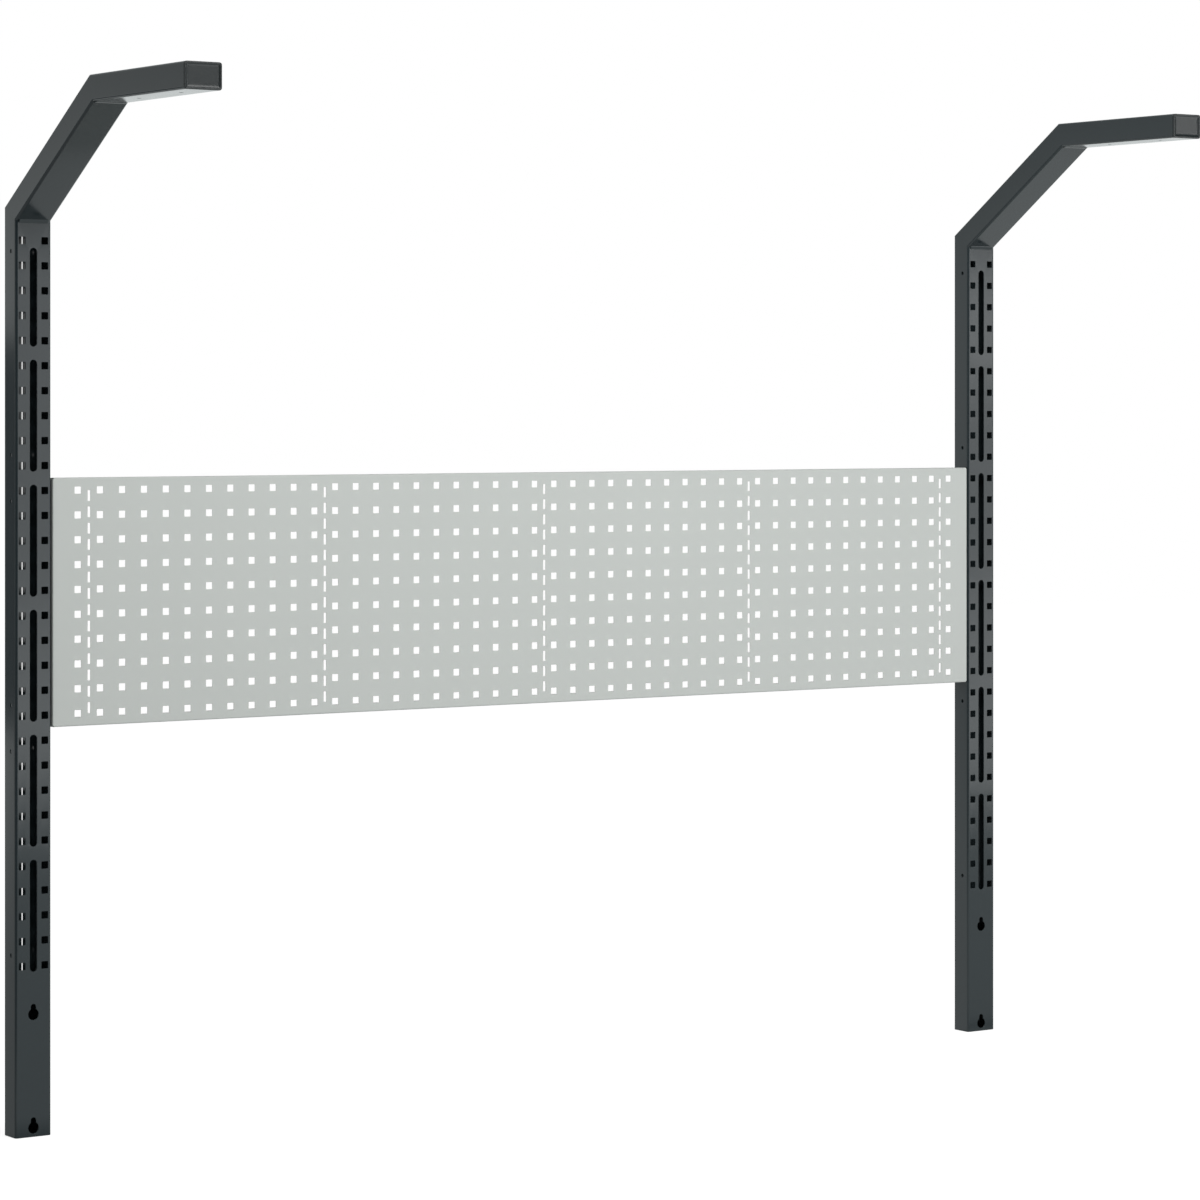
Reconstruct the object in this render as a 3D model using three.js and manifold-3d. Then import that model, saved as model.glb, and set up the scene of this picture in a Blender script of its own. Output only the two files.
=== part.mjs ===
// Workbench superstructure: two cranked, perforated uprights that carry a perforated tool panel.
// Millimetres. X runs along the panel, -Y is the front, +Z is up.
// The origin is at the middle of the footprint, level with the lower ends of the uprights.

import * as THREE from "three";
import { mergeVertices } from "three/addons/utils/BufferGeometryUtils.js";
import Module from "manifold-3d";

// Driving dimensions

const tube = {
  width: 60,
  depth: 40,
  wall: 2,
  cornerRadius: 4,
  backGap: 2,
};

const upright = {
  spacing: 1860,
  frontHeight: 1392,
};

const crank = {
  tilt: THREE.MathUtils.degToRad(57),
  slopeRun: 254,
  armReach: 534,
};

const grid = {
  pitch: 38,
  holeSize: 11,
  lastRowHeight: 260,
};

const uprightHoles = {
  rows: 30,
  slotGroups: 6,
  slotWidth: 12,
  slotBridge: 20,
  firstSlotShortfall: 20,
};

const keyhole = {
  headRadius: 8.8,
  neckRadius: 4.4,
  height: 24.6,
  lowestPoint: 5,
  spacing: 172.5,
};

const sideHole = {
  radius: 3.25,
  fromFront: 16,
  fromPanelEdge: 35,
};

const panel = {
  rows: 10,
  holeMargin: 40,
  topRow: 10,
  thickness: 1,
  trayDepth: 25,
  lipWidth: 12,
  endClearance: 2.5,
};

const panelSlot = {
  width: 4.4,
  length: 16.5,
  pitch: 25,
  perColumn: 14,
  columnStep: 11,
};

const cap = {
  flange: 3,
  rimWidth: 4,
  dishDepth: 1.6,
  skirtLength: 14,
  skirtWall: 2,
};

const footPlug = {
  thickness: 3.2,
  rimWidth: 3,
  dishDepth: 0.8,
};

const lampHole = {
  radius: 3.25,
  firstFromEnd: 63,
  spacing: 128,
};

const weld = {
  leg: 3.6,
  crown: 0.6,
};

const screw = {
  headRadius: 5,
  headHeight: 3.4,
  socketRadius: 2,
  socketDepth: 2,
  tipPastWall: 6,
};

const washer = {
  outerRadius: 6.2,
  thickness: 1.2,
};

const spacer = {
  outerRadius: 6,
};

// Clearances and cutting allowances

const seam = 0.3;
const fitClearance = 0.3;
const overrun = 5;

// Counts of straight steps in the round stretches

const cornerSteps = 2;
const slotEndSteps = 3;
const smallHoleSides = 10;
const keyholeSteps = 6;
const roundSides = 12;
const hexagon = 6;

// Sizes that follow

const tubeHalfWidth = tube.width / 2;
const totalDepth = tube.depth + crank.armReach + cap.flange;
const backY = totalDepth / 2;
const frontY = backY - tube.depth;
const armEndY = frontY - crank.armReach;
const slopeRise = crank.slopeRun / Math.tan(crank.tilt);
const armUnderside = upright.frontHeight + slopeRise;
const armTop = armUnderside + tube.depth;
const uprightX = upright.spacing / 2;
const topRowHeight = grid.lastRowHeight + grid.pitch * (uprightHoles.rows - 1);
const panelHeight = panel.rows * grid.pitch;
const panelTop = topRowHeight - grid.pitch * panel.topRow + grid.pitch / 2;
const panelBottom = panelTop - panelHeight;
const panelHalfLength = uprightX - tubeHalfWidth - panel.endClearance;
const sideHoleY = frontY + sideHole.fromFront;

const steelColour = 0x4a5053;
const slopeColour = 0x45494c;
const panelColour = 0xb9beba;
const capColour = 0x33383a;
const zincColour = 0xb5b8bb;

const material = {
  paint: new THREE.MeshStandardMaterial({ color: steelColour, roughness: 0.48, metalness: 0.1 }),
  weldPaint: new THREE.MeshStandardMaterial({ color: slopeColour, roughness: 0.52, metalness: 0.1 }),
  panelPaint: new THREE.MeshStandardMaterial({ color: panelColour, roughness: 0.5, metalness: 0.05 }),
  plastic: new THREE.MeshStandardMaterial({ color: capColour, roughness: 0.55, metalness: 0 }),
  zinc: new THREE.MeshStandardMaterial({ color: zincColour, roughness: 0.35, metalness: 0.9 }),
};

// Solids

const wasm = await Module();
wasm.setup();

function toSolid(geometry) {
  const bare = geometry.clone();
  bare.deleteAttribute("normal");
  bare.deleteAttribute("uv");
  const merged = mergeVertices(bare);
  return new wasm.Manifold(new wasm.Mesh({
    numProp: 3,
    vertProperties: new Float32Array(merged.attributes.position.array),
    triVerts: new Uint32Array(merged.index.array),
  }));
}

function toGeometry(solid) {
  const mesh = solid.getMesh();
  const geometry = new THREE.BufferGeometry();
  geometry.setAttribute("position", new THREE.BufferAttribute(mesh.vertProperties, 3));
  geometry.setIndex(new THREE.BufferAttribute(mesh.triVerts, 1));
  const flat = geometry.toNonIndexed();
  flat.computeVertexNormals();
  return flat;
}

function namedMesh(name, solid, finish) {
  const mesh = new THREE.Mesh(toGeometry(solid), finish);
  mesh.name = name;
  return mesh;
}

function joined(solids) {
  return solids.reduce((whole, piece) => whole.add(piece));
}

// A box given by its lowest and highest corners.
function boxBetween(low, high) {
  const size = high.map((value, axis) => value - low[axis]);
  const middle = high.map((value, axis) => (value + low[axis]) / 2);
  const box = new THREE.BoxGeometry(...size);
  box.translate(...middle);
  return box;
}

function prism(shape, length, curveSegments) {
  return new THREE.ExtrudeGeometry(shape, { depth: length, curveSegments, bevelEnabled: false });
}

// A cutter whose outline is drawn in X and Z, running from one Y to a higher one.
function cutterAlongY(shape, fromY, toY, curveSegments) {
  const geometry = prism(shape, toY - fromY, curveSegments);
  geometry.rotateX(Math.PI / 2);
  geometry.translate(0, toY, 0);
  return geometry;
}

function rodAlongX(radius, fromX, toX, y, z, sides) {
  const rod = new THREE.CylinderGeometry(radius, radius, toX - fromX, sides);
  rod.rotateZ(Math.PI / 2);
  rod.translate((fromX + toX) / 2, y, z);
  return rod;
}

function rodAlongZ(radius, fromZ, toZ, x, y, sides) {
  const rod = new THREE.CylinderGeometry(radius, radius, toZ - fromZ, sides);
  rod.rotateX(Math.PI / 2);
  rod.translate(x, y, (fromZ + toZ) / 2);
  return rod;
}

// Sections, drawn with X across the width and Y from the front face (0) to the back (depth)

function roundedRectangle(PathKind, width, depth, radius, inset) {
  const path = new PathKind();
  const left = inset - width / 2;
  const right = width / 2 - inset;
  const front = inset;
  const back = depth - inset;
  const bend = radius - inset;
  path.moveTo(left + bend, front);
  path.lineTo(right - bend, front);
  path.absarc(right - bend, front + bend, bend, -Math.PI / 2, 0, false);
  path.lineTo(right, back - bend);
  path.absarc(right - bend, back - bend, bend, 0, Math.PI / 2, false);
  path.lineTo(left + bend, back);
  path.absarc(left + bend, back - bend, bend, Math.PI / 2, Math.PI, false);
  path.lineTo(left, front + bend);
  path.absarc(left + bend, front + bend, bend, Math.PI, Math.PI * 3 / 2, false);
  return path;
}

function tubeSection() {
  const section = roundedRectangle(THREE.Shape, tube.width, tube.depth, tube.cornerRadius, 0);
  section.holes.push(roundedRectangle(THREE.Path, tube.width, tube.depth, tube.cornerRadius, tube.wall));
  return section;
}

// A long tube standing on the origin, later moved and cut to its mitres.
function tubeBlank(length) {
  return prism(tubeSection(), length, cornerSteps);
}

// The elbows, as points in the side view: Y forward is negative, Z is up

const lowerElbow = {
  inner: new THREE.Vector2(frontY, upright.frontHeight),
  bend: crank.tilt,
};
const upperElbow = {
  inner: new THREE.Vector2(frontY - crank.slopeRun, armUnderside),
  bend: Math.PI / 2 - crank.tilt,
};
lowerElbow.outer = new THREE.Vector2(
  backY,
  upright.frontHeight + tube.depth * Math.tan(lowerElbow.bend / 2),
);
upperElbow.outer = new THREE.Vector2(
  upperElbow.inner.x + tube.depth * Math.tan(upperElbow.bend / 2),
  armTop,
);

// A block in the side view that removes everything beyond a mitre.
function beyondMitre(elbow, side, x) {
  const along = elbow.outer.clone().sub(elbow.inner).normalize();
  const across = new THREE.Vector2(-along.y, along.x).multiplyScalar(side);
  const middle = elbow.inner.clone().addScaledVector(across, -seam / 2);
  const start = middle.clone().addScaledVector(along, -crank.armReach);
  const end = middle.clone().addScaledVector(along, crank.armReach);
  const reach = across.clone().multiplyScalar(crank.armReach);
  const corners = [start, end, end.clone().add(reach), start.clone().add(reach)];
  const outline = new THREE.Shape(corners);
  const block = prism(outline, tube.width + overrun * 2, cornerSteps);
  // The outline's first axis becomes Y, its second becomes Z, and the prism runs along X.
  block.applyMatrix4(new THREE.Matrix4().set(
    0, 0, 1, x - tubeHalfWidth - overrun,
    1, 0, 0, 0,
    0, 1, 0, 0,
    0, 0, 0, 1,
  ));
  return toSolid(block);
}

// Uprights

function squareCutters(x) {
  const cutters = [];
  const half = grid.holeSize / 2;
  for (let row = 0; row < uprightHoles.rows; row += 1) {
    const z = topRowHeight - row * grid.pitch;
    for (const side of [-1, 1]) {
      const holeX = x + side * grid.pitch / 2;
      cutters.push(boxBetween(
        [holeX - half, frontY - overrun, z - half],
        [holeX + half, frontY + tube.wall + overrun, z + half],
      ));
    }
  }
  return cutters;
}

function slotOutline(x, low, high, width) {
  const radius = width / 2;
  const outline = new THREE.Shape();
  outline.moveTo(x + radius, low + radius);
  outline.lineTo(x + radius, high - radius);
  outline.absarc(x, high - radius, radius, 0, Math.PI, false);
  outline.lineTo(x - radius, low + radius);
  outline.absarc(x, low + radius, radius, Math.PI, Math.PI * 2, false);
  return outline;
}

// The height span of one long slot, counted from the top: each takes the place of five rows.
function slotSpan(group) {
  const rowsEach = uprightHoles.rows / uprightHoles.slotGroups;
  const groupTop = topRowHeight + grid.pitch / 2 - group * rowsEach * grid.pitch;
  const high = groupTop - uprightHoles.slotBridge / 2 - (group === 0 ? uprightHoles.firstSlotShortfall : 0);
  const low = groupTop - rowsEach * grid.pitch + uprightHoles.slotBridge / 2;
  return { low, high };
}

function slotCutters(x) {
  const cutters = [];
  for (let group = 0; group < uprightHoles.slotGroups; group += 1) {
    const { low, high } = slotSpan(group);
    const outline = slotOutline(x, low, high, uprightHoles.slotWidth);
    cutters.push(cutterAlongY(outline, frontY - overrun, frontY + tube.wall + overrun, slotEndSteps));
  }
  return cutters;
}

function keyholeOutline(x, lowest) {
  const head = keyhole.headRadius;
  const neck = keyhole.neckRadius;
  const headZ = lowest + head;
  const neckZ = lowest + keyhole.height - neck;
  const meet = Math.acos(neck / head);
  const outline = new THREE.Shape();
  outline.absarc(x, neckZ, neck, 0, Math.PI, false);
  outline.absarc(x, headZ, head, Math.PI - meet, Math.PI * 2 + meet, false);
  return outline;
}

function keyholeCutters(x) {
  return [0, 1].map((index) => cutterAlongY(
    keyholeOutline(x, keyhole.lowestPoint + index * keyhole.spacing),
    frontY - overrun,
    frontY + tube.wall + overrun,
    keyholeSteps,
  ));
}

// Heights of the small side holes: two for each of the three places that the panel can take.
function sideHoleHeights() {
  const heights = [];
  for (let top = topRowHeight + grid.pitch / 2; top > panelHeight; top -= panelHeight) {
    heights.push(top - sideHole.fromPanelEdge);
    heights.push(top - panelHeight + sideHole.fromPanelEdge);
  }
  return heights;
}

function sideHoleCutters(x) {
  return sideHoleHeights().map((z) => rodAlongX(
    sideHole.radius,
    x - tubeHalfWidth - overrun,
    x + tubeHalfWidth + overrun,
    sideHoleY,
    z,
    smallHoleSides,
  ));
}

function uprightSolid(x) {
  const blankTop = upright.frontHeight + tube.depth;
  const blank = tubeBlank(blankTop);
  blank.translate(x, frontY, 0);
  const backSlit = boxBetween(
    [x - tube.backGap / 2, backY - tube.wall - overrun, -overrun],
    [x + tube.backGap / 2, backY + overrun, blankTop + overrun],
  );
  const cutters = [
    backSlit,
    ...squareCutters(x),
    ...slotCutters(x),
    ...keyholeCutters(x),
    ...sideHoleCutters(x),
  ].map(toSolid);
  return toSolid(blank).subtract(joined(cutters)).subtract(beyondMitre(lowerElbow, 1, x));
}

// Sloping tube and level arm

function slopeSolid(x) {
  const slopeLength = crank.slopeRun / Math.sin(crank.tilt);
  const blank = tubeBlank(slopeLength + tube.width * 2);
  blank.translate(0, 0, -tube.width);
  blank.rotateX(crank.tilt);
  blank.translate(x, lowerElbow.inner.x, lowerElbow.inner.y);
  return toSolid(blank)
    .subtract(beyondMitre(lowerElbow, -1, x))
    .subtract(beyondMitre(upperElbow, 1, x));
}

function lampHoleYs() {
  const first = armEndY + lampHole.firstFromEnd;
  return [first, first + lampHole.spacing];
}

function armSolid(x) {
  const blank = tubeBlank(crank.armReach - crank.slopeRun + tube.width);
  blank.rotateX(Math.PI / 2);
  blank.translate(x, upperElbow.inner.x + tube.width, armUnderside);
  const holes = lampHoleYs().map((y) => toSolid(rodAlongZ(
    lampHole.radius,
    armUnderside - overrun,
    armUnderside + tube.wall + overrun,
    x,
    y,
    smallHoleSides,
  )));
  return toSolid(blank).subtract(beyondMitre(upperElbow, -1, x)).subtract(joined(holes));
}

// End cap: a dished flange with a hollow skirt that plugs the arm

function capSection(width, depth, radius, shapeLength, fromY, middleZ) {
  const geometry = prism(roundedRectangle(THREE.Shape, width, depth, radius, 0), shapeLength, cornerSteps);
  geometry.rotateX(Math.PI / 2);
  geometry.translate(0, fromY, middleZ - depth / 2);
  return geometry;
}

function capSolid(x) {
  const middleZ = armUnderside + tube.depth / 2;
  const boreWidth = tube.width - tube.wall * 2;
  const boreDepth = tube.depth - tube.wall * 2;
  const skirtWidth = boreWidth - fitClearance * 2;
  const skirtDepth = boreDepth - fitClearance * 2;
  const hollowWidth = skirtWidth - cap.skirtWall * 2;
  const hollowDepth = skirtDepth - cap.skirtWall * 2;
  const innerRadius = tube.cornerRadius - tube.wall;
  const flangeBack = armEndY - seam;
  const flangeFront = armEndY - cap.flange;
  const flange = capSection(
    tube.width, tube.depth, tube.cornerRadius, flangeBack - flangeFront, flangeBack, middleZ,
  );
  const skirt = capSection(
    skirtWidth, skirtDepth, innerRadius, cap.skirtLength + seam, flangeBack + cap.skirtLength, middleZ,
  );
  const hollow = capSection(
    hollowWidth, hollowDepth, innerRadius / 2,
    cap.skirtLength + overrun, flangeBack + cap.skirtLength + overrun, middleZ,
  );
  const dish = capSection(
    tube.width - cap.rimWidth * 2, tube.depth - cap.rimWidth * 2, innerRadius,
    cap.dishDepth + overrun, flangeFront + cap.dishDepth, middleZ,
  );
  const rib = boxBetween(
    [-cap.skirtWall / 2, flangeBack - seam, middleZ - skirtDepth / 2 + cap.skirtWall / 2],
    [cap.skirtWall / 2, flangeBack + cap.skirtLength, middleZ + skirtDepth / 2 - cap.skirtWall / 2],
  );
  const whole = toSolid(flange)
    .add(toSolid(skirt))
    .subtract(toSolid(hollow))
    .add(toSolid(rib))
    .subtract(toSolid(dish));
  return whole.translate([x, 0, 0]);
}

// Foot plug: a flat plug pressed into the lower end of the upright, dished underneath

function plugSection(x, inset, radius, fromZ, toZ) {
  const width = tube.width - inset * 2;
  const depth = tube.depth - inset * 2;
  const geometry = prism(roundedRectangle(THREE.Shape, width, depth, radius, 0), toZ - fromZ, cornerSteps);
  geometry.translate(x, frontY + inset, fromZ);
  return toSolid(geometry);
}

function footPlugSolid(x) {
  const inset = tube.wall + fitClearance;
  const radius = tube.cornerRadius - tube.wall;
  const plate = plugSection(x, inset, radius, 0, footPlug.thickness);
  const dish = plugSection(x, inset + footPlug.rimWidth, radius, -overrun, footPlug.dishDepth);
  return plate.subtract(dish);
}

// Weld beads along the inside of each elbow

function weldSolid(elbow, faceAngles, x) {
  const corner = elbow.inner;
  const middleAngle = (faceAngles[0] + faceAngles[1]) / 2;
  const halfOpening = Math.abs(faceAngles[1] - faceAngles[0]) / 2;
  const standOff = seam / Math.sin(halfOpening);
  const apex = new THREE.Vector2(Math.cos(middleAngle), Math.sin(middleAngle)).multiplyScalar(standOff);
  const toes = faceAngles.map((angle) => new THREE.Vector2(
    apex.x + Math.cos(angle) * weld.leg,
    apex.y + Math.sin(angle) * weld.leg,
  ));
  const crown = new THREE.Vector2(Math.cos(middleAngle), Math.sin(middleAngle))
    .multiplyScalar(standOff + weld.leg * Math.cos(halfOpening) + weld.crown);
  const outline = new THREE.Shape([apex, toes[0], crown, toes[1]].map((point) => point.add(corner)));
  const length = tube.width - tube.cornerRadius * 2;
  const bead = prism(outline, length, cornerSteps);
  bead.applyMatrix4(new THREE.Matrix4().set(
    0, 0, 1, x - length / 2,
    1, 0, 0, 0,
    0, 1, 0, 0,
    0, 0, 0, 1,
  ));
  return toSolid(bead);
}

const down = -Math.PI / 2;
const forward = -Math.PI;
const slopeForward = -Math.PI * 3 / 2 + crank.tilt;
const slopeBack = slopeForward + Math.PI;

// Panel: a folded tray, open at the back, with the perforation of the uprights carried across

function panelBlank() {
  const backEdge = frontY + panel.trayDepth;
  const wall = panel.thickness;
  const outside = boxBetween(
    [-panelHalfLength, frontY, panelBottom],
    [panelHalfLength, backEdge, panelTop],
  );
  const inside = boxBetween(
    [-panelHalfLength + wall, frontY + wall, panelBottom + wall],
    [panelHalfLength - wall, backEdge - wall, panelTop - wall],
  );
  const backOpening = boxBetween(
    [-panelHalfLength + wall, frontY + wall, panelBottom + panel.lipWidth],
    [panelHalfLength - wall, backEdge + overrun, panelTop - panel.lipWidth],
  );
  return toSolid(outside).subtract(toSolid(inside)).subtract(toSolid(backOpening));
}

// Square holes stand half a pitch off the middle and on, as many columns as the end margin leaves room for.
function panelSquareCutters() {
  const cutters = [];
  const half = grid.holeSize / 2;
  const perHalf = Math.floor((panelHalfLength - panel.holeMargin) / grid.pitch + 1 / 2);
  for (let column = -perHalf; column < perHalf; column += 1) {
    for (let row = 0; row < panel.rows; row += 1) {
      const x = (column + 1 / 2) * grid.pitch;
      const z = panelTop - grid.pitch / 2 - row * grid.pitch;
      cutters.push(boxBetween(
        [x - half, frontY - panel.thickness, z - half],
        [x + half, frontY + panel.thickness * 2, z + half],
      ));
    }
  }
  return cutters;
}

// Slot columns stand midway between two columns of squares, the first of them in the middle of the panel.
function panelSlotCutters() {
  const cutters = [];
  const middleZ = (panelTop + panelBottom) / 2;
  const step = panelSlot.columnStep * grid.pitch;
  const perHalf = Math.floor((panelHalfLength - panel.holeMargin) / step);
  for (let column = -perHalf; column <= perHalf; column += 1) {
    for (let index = 0; index < panelSlot.perColumn; index += 1) {
      const x = column * step;
      const z = middleZ + (index - (panelSlot.perColumn - 1) / 2) * panelSlot.pitch;
      cutters.push(boxBetween(
        [x - panelSlot.width / 2, frontY - panel.thickness, z - panelSlot.length / 2],
        [x + panelSlot.width / 2, frontY + panel.thickness * 2, z + panelSlot.length / 2],
      ));
    }
  }
  return cutters;
}

const fixingHeights = [panelTop - sideHole.fromPanelEdge, panelBottom + sideHole.fromPanelEdge];
const shankRadius = sideHole.radius - fitClearance;
const fixingHoleRadius = sideHole.radius + fitClearance;

function panelFixingCutters() {
  return fixingHeights.map((z) => rodAlongX(
    fixingHoleRadius,
    -panelHalfLength - overrun,
    panelHalfLength + overrun,
    sideHoleY,
    z,
    smallHoleSides,
  ));
}

function panelSolid() {
  const cutters = [...panelSquareCutters(), ...panelSlotCutters(), ...panelFixingCutters()].map(toSolid);
  return wasm.Manifold.difference([panelBlank(), ...cutters]);
}

// Panel fixings, laid along X from the upright's inner face (0) towards the middle of the panel (+)

function ring(innerRadius, outerRadius, from, to) {
  const outline = new THREE.Shape();
  outline.absarc(0, 0, outerRadius, 0, Math.PI * 2, false);
  const hole = new THREE.Path();
  hole.absarc(0, 0, innerRadius, 0, Math.PI * 2, false);
  outline.holes.push(hole);
  const geometry = prism(outline, to - from, roundSides / 2);
  geometry.rotateY(Math.PI / 2);
  geometry.translate(from, 0, 0);
  return toSolid(geometry);
}

const flangeInside = panel.endClearance + panel.thickness;
const washerFrom = flangeInside + seam;
const washerTo = washerFrom + washer.thickness;
const headFrom = washerTo + seam;

function spacerRing() {
  return ring(fixingHoleRadius, spacer.outerRadius, seam, panel.endClearance - seam);
}

function washerRing() {
  return ring(fixingHoleRadius, washer.outerRadius, washerFrom, washerTo);
}

function screwBody() {
  const headTo = headFrom + screw.headHeight;
  const tip = -tube.wall - screw.tipPastWall;
  const head = toSolid(rodAlongX(screw.headRadius, headFrom, headTo, 0, 0, roundSides));
  const shank = toSolid(rodAlongX(shankRadius, tip, headFrom + seam, 0, 0, smallHoleSides));
  const socket = toSolid(rodAlongX(
    screw.socketRadius, headTo - screw.socketDepth, headTo + overrun, 0, 0, hexagon,
  ));
  return head.add(shank).subtract(socket);
}

// A fixing made along +X is turned about for the right-hand end, and then set at its place.
function atFixing(solid, side, z) {
  const faceX = side * (uprightX - tubeHalfWidth);
  const turned = side < 0 ? solid : solid.rotate([0, 0, 180]);
  return turned.translate([faceX, sideHoleY, z]);
}

// Assembly

const object = new THREE.Group();

for (const [side, label] of [[-1, "left"], [1, "right"]]) {
  const x = side * uprightX;
  object.add(namedMesh(`upright_${label}`, uprightSolid(x), material.paint));
  object.add(namedMesh(`slope_tube_${label}`, slopeSolid(x), material.paint));
  object.add(namedMesh(`lamp_arm_${label}`, armSolid(x), material.paint));
  object.add(namedMesh(`end_cap_${label}`, capSolid(x), material.plastic));
  object.add(namedMesh(`foot_plug_${label}`, footPlugSolid(x), material.plastic));
  object.add(namedMesh(
    `lower_weld_${label}`, weldSolid(lowerElbow, [down, slopeForward], x), material.weldPaint,
  ));
  object.add(namedMesh(
    `upper_weld_${label}`, weldSolid(upperElbow, [forward, slopeBack], x), material.weldPaint,
  ));
  fixingHeights.forEach((z, index) => {
    const level = index === 0 ? "upper" : "lower";
    object.add(namedMesh(`panel_screw_${level}_${label}`, atFixing(screwBody(), side, z), material.zinc));
    object.add(namedMesh(`panel_washer_${level}_${label}`, atFixing(washerRing(), side, z), material.zinc));
    object.add(namedMesh(`panel_spacer_${level}_${label}`, atFixing(spacerRing(), side, z), material.zinc));
  });
}

object.add(namedMesh("perforated_panel", panelSolid(), material.panelPaint));

export default object;
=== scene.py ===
# Workbench superstructure: two cranked, perforated uprights with lamp arms, and a perforated tool panel.
# Metres. X runs along the panel, -Y is the front and +Z is up, as in the model that is loaded.

from math import acos, asin, copysign, cos, pi, radians, sin, sqrt, tan

import bmesh
import bpy
from bpy.props import FloatProperty, FloatVectorProperty, IntProperty, PointerProperty
from mathutils import Matrix, Vector


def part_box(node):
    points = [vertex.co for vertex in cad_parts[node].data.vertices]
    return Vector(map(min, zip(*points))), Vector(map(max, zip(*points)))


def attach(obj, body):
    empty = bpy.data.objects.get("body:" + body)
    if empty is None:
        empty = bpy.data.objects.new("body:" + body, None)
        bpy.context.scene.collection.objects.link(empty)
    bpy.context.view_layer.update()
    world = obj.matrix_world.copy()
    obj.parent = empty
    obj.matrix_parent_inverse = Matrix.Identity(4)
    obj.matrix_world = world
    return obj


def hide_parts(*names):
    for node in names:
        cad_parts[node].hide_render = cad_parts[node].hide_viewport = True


bl_info = {
    "name": "Workbench superstructure",
    "version": (1, 0, 0),
    "blender": (4, 5, 0),
    "location": "View3D > Sidebar > Superstructure",
    "description": "Builds a workbench superstructure with perforated uprights, lamp arms and a tool panel",
    "category": "Add Mesh",
}

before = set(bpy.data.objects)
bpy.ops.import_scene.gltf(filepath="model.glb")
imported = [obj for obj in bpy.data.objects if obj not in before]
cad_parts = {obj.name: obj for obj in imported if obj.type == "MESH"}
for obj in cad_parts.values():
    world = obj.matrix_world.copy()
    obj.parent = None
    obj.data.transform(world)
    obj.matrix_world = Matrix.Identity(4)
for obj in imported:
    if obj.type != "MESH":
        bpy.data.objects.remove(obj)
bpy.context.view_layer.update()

BODY = "root"
SIDES = (("left", -1), ("right", 1))
LEVELS = ("upper", "lower")
X_AXIS = Vector((1, 0, 0))
Y_AXIS = Vector((0, 1, 0))
Z_AXIS = Vector((0, 0, 1))
QUARTER = pi / 2
SAME_PLACE = 1e-6
BRIDGE_LIFT = 1.0

# Cosine between two directions that count as one
SAME_FACING = 0.999
# Edges sharper than the first of these get a rounded rim, and past the second the shading stays crisp
RIM_ANGLE = radians(70)
SHARP_ANGLE = radians(50)
# How far in from each side the middle of a quarter bend lies, as a share of its radius
MID_BEND = 1 - sin(QUARTER / 2)

# Steps in which the curves are drawn
TUBE_BEND_STEPS = 6
SHEET_BEND_STEPS = 5
CORNER_STEPS = 2
SLOT_STEPS = 6
SIDE_HOLE_STEPS = 3
ROUND_HOLE_STEPS = 4
KEYHOLE_NECK_STEPS = 8
KEYHOLE_HEAD_STEPS = 20
RIM_STEPS = 2
CAP_STEPS = 5
DISH_STEPS = 6
PLUG_STEPS = 4
CROWN_STEPS = 6
RIPPLE_STEPS = 4
FIXING_STEPS = 6

# Turns a drawing made in X and Y, with its outer side towards +Z, into a wall that faces the front.
FACE_FRONT = Matrix.Rotation(QUARTER, 4, "X")


# Sizes and colours that a user would change


def length(name, default, description):
    return FloatProperty(
        name=name, description=description, default=default, min=0, precision=4, unit="LENGTH",
    )


def angle(name, degrees, description):
    return FloatProperty(name=name, description=description, default=radians(degrees), subtype="ANGLE")


def power(name, default, description):
    return FloatProperty(name=name, description=description, default=default, min=0, unit="POWER")


def share(name, default, description):
    return FloatProperty(name=name, description=description, default=default, min=0, max=1)


def count(name, default, description):
    return IntProperty(name=name, description=description, default=default, min=1)


def colour(name, default, description):
    return FloatVectorProperty(
        name=name, description=description, default=default, min=0, max=1, size=3, subtype="COLOR",
    )


class TubeSizes(bpy.types.PropertyGroup):
    wall: length("Wall", 0.002, "Thickness of the tube walls")
    bend: length("Bend radius", 0.004, "Outer radius of the bends along the tubes")
    back_gap: length("Back gap", 0.002, "Width of the open seam down the back of each upright")
    rim: length("Rim rounding", 0.00035, "Rounding that the coating leaves on every cut edge")
    front_height: length("Front height", 1.392, "Height of the lower elbow at the front of the upright")
    slope_run: length("Slope run", 0.254, "How far the sloping tube carries the arm forward")
    tilt: angle("Tilt", 57, "Lean of the sloping tube from upright")


class HoleSizes(bpy.types.PropertyGroup):
    pitch: length("Pitch", 0.038, "Distance between neighbouring square holes, both ways")
    square: length("Square hole", 0.011, "Width of the square holes")
    square_corner: length("Square hole corner", 0.0009, "Corner radius of the square holes")
    top_row: length("Top row", 1.362, "Height of the highest row of square holes")
    rows: count("Rows", 30, "Rows of square holes in an upright")
    slots: count("Slots", 6, "Long slots down the middle of an upright")
    slot_width: length("Slot width", 0.012, "Width of the long slots")
    slot_bridge: length("Slot bridge", 0.020, "Steel left between two long slots")
    slot_shortfall: length("First slot shortfall", 0.020, "How much lower the top slot ends than its rows")
    side: length("Side hole radius", 0.00325, "Radius of the small holes in the sides of the uprights")
    side_depth: length("Side hole depth", 0.016, "Distance of the side holes from the front face")
    side_margin: length("Side hole margin", 0.035, "Distance of the side holes from the panel's edge")
    lamp: length("Lamp hole radius", 0.00325, "Radius of the holes under the arms")
    lamp_first: length("First lamp hole", 0.063, "Distance of the first lamp hole from the arm's end")
    lamp_spacing: length("Lamp hole spacing", 0.128, "Distance between the two lamp holes")


class KeyholeSizes(bpy.types.PropertyGroup):
    head: length("Head radius", 0.0088, "Radius of the round part that lets the screw head through")
    neck: length("Neck radius", 0.0044, "Radius of the narrow part above it")
    height: length("Height", 0.0246, "Whole height of the keyhole")
    lowest: length("Lowest point", 0.005, "Height of the lower keyhole's lowest point")
    spacing: length("Spacing", 0.1725, "Distance between the two keyholes")


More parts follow.
